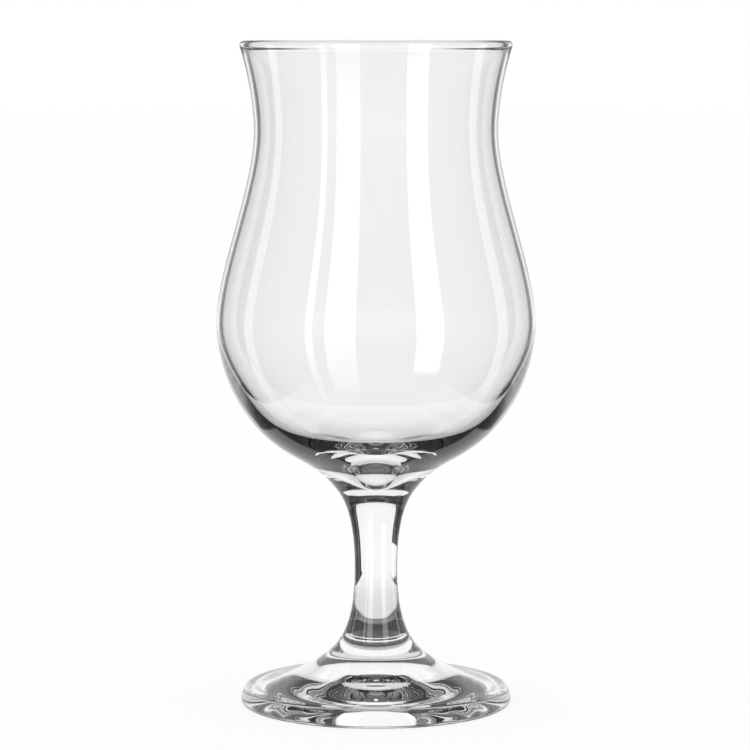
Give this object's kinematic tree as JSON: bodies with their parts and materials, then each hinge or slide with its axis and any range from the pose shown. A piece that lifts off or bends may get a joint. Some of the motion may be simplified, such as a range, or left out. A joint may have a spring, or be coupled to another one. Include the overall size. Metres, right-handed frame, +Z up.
{
  "type": "stemmed drinking glass",
  "caption": "Clear stemmed drinking glass with a round belly, drawn-in waist, flared beaded lip, thick welled floor, short waisted stem and disc foot.",
  "frame": {"origin": "centre of the standing ring under the foot, on the surface the glass stands on", "axes": "+Z up along the axis of the glass, from the foot to the lip"},
  "size_m": [0.084, 0.084, 0.175],
  "materials": {
    "clear_glass": "clear, fire-polished"
  },
  "bodies": {
    "root": {"bowl": "clear_glass", "stem": "clear_glass", "foot": "clear_glass"}
  },
  "joints": []
}
